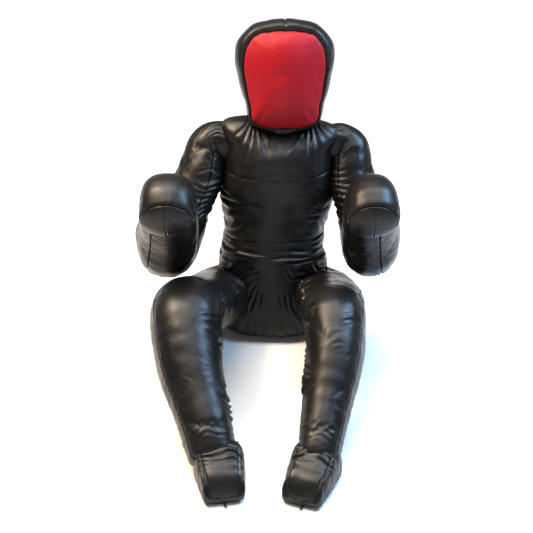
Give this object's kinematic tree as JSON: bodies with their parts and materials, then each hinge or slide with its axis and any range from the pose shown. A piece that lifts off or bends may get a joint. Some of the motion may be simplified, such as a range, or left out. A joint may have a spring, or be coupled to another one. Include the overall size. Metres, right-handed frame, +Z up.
{
  "type": "grappling dummy",
  "caption": "Seated human-shaped leather grappling dummy with raised mitts, bent knees, a padded red face panel and filling zips",
  "frame": {"origin": "point on the floor under the middle of the seat panel", "axes": "+Z up out of the seat, the dummy faces -Y, and +X is towards its left side"},
  "size_m": [0.693, 1.0498, 0.8481],
  "materials": {
    "black_leather": "satin",
    "red_leather": "satin",
    "piping": "satin",
    "filling": "matte",
    "zip_tape": "matte",
    "zip_metal": "satin"
  },
  "bodies": {
    "pelvis": {"waistband": "black_leather", "pelvis_front": "black_leather", "pelvis_back": "black_leather", "seat_panel": "black_leather", "pelvis_filling": "filling"},
    "torso": {"torso_front": "black_leather", "chest_yoke": "black_leather", "torso_back": "black_leather", "torso_filling": "filling", "back_zip_chain": "zip_tape"},
    "neck": {"neck_collar": "black_leather"},
    "head": {"head_hood": "black_leather", "face_panel": "red_leather", "face_piping": "piping", "head_filling": "filling"},
    "back_zip_slider": {"back_zip_slider": "zip_metal"},
    "back_zip_pull": {"back_zip_pull": "zip_metal"},
    "shoulder_right": {"shoulder_gusset_right": "black_leather"},
    "upper_arm_right": {"upper_arm_outer_right": "black_leather", "upper_arm_inner_right": "black_leather", "upper_arm_filling_right": "filling"},
    "forearm_right": {"forearm_outer_right": "black_leather", "forearm_inner_right": "black_leather", "mitt_cap_right": "black_leather", "forearm_filling_right": "filling"},
    "hip_right": {"hip_gusset_right": "black_leather"},
    "thigh_right": {"thigh_top_right": "black_leather", "thigh_under_right": "black_leather", "thigh_filling_right": "filling"},
    "shin_right": {"shin_front_right": "black_leather", "calf_back_right": "black_leather", "shin_filling_right": "filling"},
    "foot_right": {"foot_upper_right": "black_leather", "foot_sole_right": "black_leather", "foot_filling_right": "filling", "sole_zip_chain_right": "zip_tape"},
    "sole_zip_slider_right": {"sole_zip_slider_right": "zip_metal"},
    "sole_zip_pull_right": {"sole_zip_pull_right": "zip_metal"},
    "shoulder_left": {"shoulder_gusset_left": "black_leather"},
    "upper_arm_left": {"upper_arm_outer_left": "black_leather", "upper_arm_inner_left": "black_leather", "upper_arm_filling_left": "filling"},
    "forearm_left": {"forearm_outer_left": "black_leather", "forearm_inner_left": "black_leather", "mitt_cap_left": "black_leather", "forearm_filling_left": "filling"},
    "hip_left": {"hip_gusset_left": "black_leather"},
    "thigh_left": {"thigh_top_left": "black_leather", "thigh_under_left": "black_leather", "thigh_filling_left": "filling"},
    "shin_left": {"shin_front_left": "black_leather", "calf_back_left": "black_leather", "shin_filling_left": "filling"},
    "foot_left": {"foot_upper_left": "black_leather", "foot_sole_left": "black_leather", "foot_filling_left": "filling", "sole_zip_chain_left": "zip_tape"},
    "sole_zip_slider_left": {"sole_zip_slider_left": "zip_metal"},
    "sole_zip_pull_left": {"sole_zip_pull_left": "zip_metal"}
  },
  "joints": [
    {"name": "waist_bend", "type": "hinge", "parent": "pelvis", "child": "torso", "pos_m": [0.015, 0.03, 0.205], "axis": [1, 0, 0], "range_deg": [-14, 6], "stiffness_Nm_per_rad": 1600},
    {"name": "neck_nod", "type": "hinge", "parent": "torso", "child": "neck", "pos_m": [0.038, 0.105, 0.56], "axis": [1, 0, 0], "range_deg": [-12, 12], "stiffness_Nm_per_rad": 150},
    {"name": "neck_turn", "type": "hinge", "parent": "neck", "child": "head", "pos_m": [0.038, 0.105, 0.56], "axis": [0, 0.225, 0.9744], "range_deg": [-30, 30], "stiffness_Nm_per_rad": 80},
    {"name": "shoulder_swing_right", "type": "hinge", "parent": "torso", "child": "shoulder_right", "pos_m": [-0.172, 0.095, 0.502], "axis": [-1, 0, 0], "range_deg": [-18, 45], "stiffness_Nm_per_rad": 300},
    {"name": "shoulder_spread_right", "type": "hinge", "parent": "shoulder_right", "child": "upper_arm_right", "pos_m": [-0.172, 0.095, 0.502], "axis": [0, 0.7812, -0.6243], "range_deg": [-2.5, 18], "stiffness_Nm_per_rad": 300},
    {"name": "elbow_right", "type": "hinge", "parent": "upper_arm_right", "child": "forearm_right", "pos_m": [-0.271, -0.08, 0.283], "axis": [-0.9428, 0.1932, 0.2718], "range_deg": [-18, 6], "stiffness_Nm_per_rad": 160},
    {"name": "hip_flex_right", "type": "hinge", "parent": "pelvis", "child": "hip_right", "pos_m": [-0.14, -0.02, 0.105], "axis": [-1, 0, 0], "range_deg": [-25, 5], "stiffness_Nm_per_rad": 500},
    {"name": "hip_spread_right", "type": "hinge", "parent": "hip_right", "child": "thigh_right", "pos_m": [-0.14, -0.02, 0.105], "axis": [0, -0.4014, -0.9159], "range_deg": [-2, 8], "stiffness_Nm_per_rad": 400},
    {"name": "knee_right", "type": "hinge", "parent": "thigh_right", "child": "shin_right", "pos_m": [-0.202, -0.36, 0.254], "axis": [0.9344, -0.0144, 0.3559], "range_deg": [-25, 20], "stiffness_Nm_per_rad": 300},
    {"name": "ankle_right", "type": "hinge", "parent": "shin_right", "child": "foot_right", "pos_m": [-0.131, -0.695, 0.054], "axis": [-0.9648, -0.2631, 0], "range_deg": [-6, 10], "stiffness_Nm_per_rad": 90},
    {"name": "sole_zip_right", "type": "slide", "parent": "foot_right", "child": "sole_zip_slider_right", "axis": [-0.2631, 0.9648, 0], "range_m": [0, 0.1]},
    {"name": "sole_zip_pull_right", "type": "hinge", "parent": "sole_zip_slider_right", "child": "sole_zip_pull_right", "pos_m": [-0.10119, -0.80431, 0.0016], "axis": [-0.9648, -0.2631, 0], "range_deg": [-80, 1]},
    {"name": "shoulder_swing_left", "type": "hinge", "parent": "torso", "child": "shoulder_left", "pos_m": [0.229, 0.095, 0.502], "axis": [-1, 0, 0], "range_deg": [-18, 45], "stiffness_Nm_per_rad": 300},
    {"name": "shoulder_spread_left", "type": "hinge", "parent": "shoulder_left", "child": "upper_arm_left", "pos_m": [0.229, 0.095, 0.502], "axis": [0, -0.7712, 0.6366], "range_deg": [-2.5, 18], "stiffness_Nm_per_rad": 300},
    {"name": "elbow_left", "type": "hinge", "parent": "upper_arm_left", "child": "forearm_left", "pos_m": [0.27, -0.08, 0.29], "axis": [-0.9883, -0.0633, -0.1389], "range_deg": [-18, 6], "stiffness_Nm_per_rad": 160},
    {"name": "hip_flex_left", "type": "hinge", "parent": "pelvis", "child": "hip_left", "pos_m": [0.155, -0.02, 0.105], "axis": [-1, 0, 0], "range_deg": [-25, 5], "stiffness_Nm_per_rad": 500},
    {"name": "hip_spread_left", "type": "hinge", "parent": "hip_left", "child": "thigh_left", "pos_m": [0.155, -0.02, 0.105], "axis": [0, 0.3737, 0.9275], "range_deg": [-1, 9], "stiffness_Nm_per_rad": 400},
    {"name": "knee_left", "type": "hinge", "parent": "thigh_left", "child": "shin_left", "pos_m": [0.178, -0.36, 0.242], "axis": [0.9646, -0.0397, -0.2606], "range_deg": [-25, 20], "stiffness_Nm_per_rad": 300},
    {"name": "ankle_left", "type": "hinge", "parent": "shin_left", "child": "foot_left", "pos_m": [0.113, -0.705, 0.054], "axis": [-0.9487, 0.3162, 0], "range_deg": [-6, 10], "stiffness_Nm_per_rad": 90},
    {"name": "sole_zip_left", "type": "slide", "parent": "foot_left", "child": "sole_zip_slider_left", "axis": [0.3162, 0.9487, 0], "range_m": [0, 0.1]},
    {"name": "sole_zip_pull_left", "type": "hinge", "parent": "sole_zip_slider_left", "child": "sole_zip_pull_left", "pos_m": [0.07717, -0.81249, 0.0016], "axis": [-0.9487, 0.3162, 0], "range_deg": [-80, 1]},
    {"name": "back_zip", "type": "slide", "parent": "torso", "child": "back_zip_slider", "axis": [-0.0629, -0.2995, -0.952], "range_m": [0, 0.09]},
    {"name": "back_zip_pull", "type": "hinge", "parent": "back_zip_slider", "child": "back_zip_pull", "pos_m": [0.02601, 0.17641, 0.35063], "axis": [1, 0, 0], "range_deg": [-12, 80]}
  ]
}
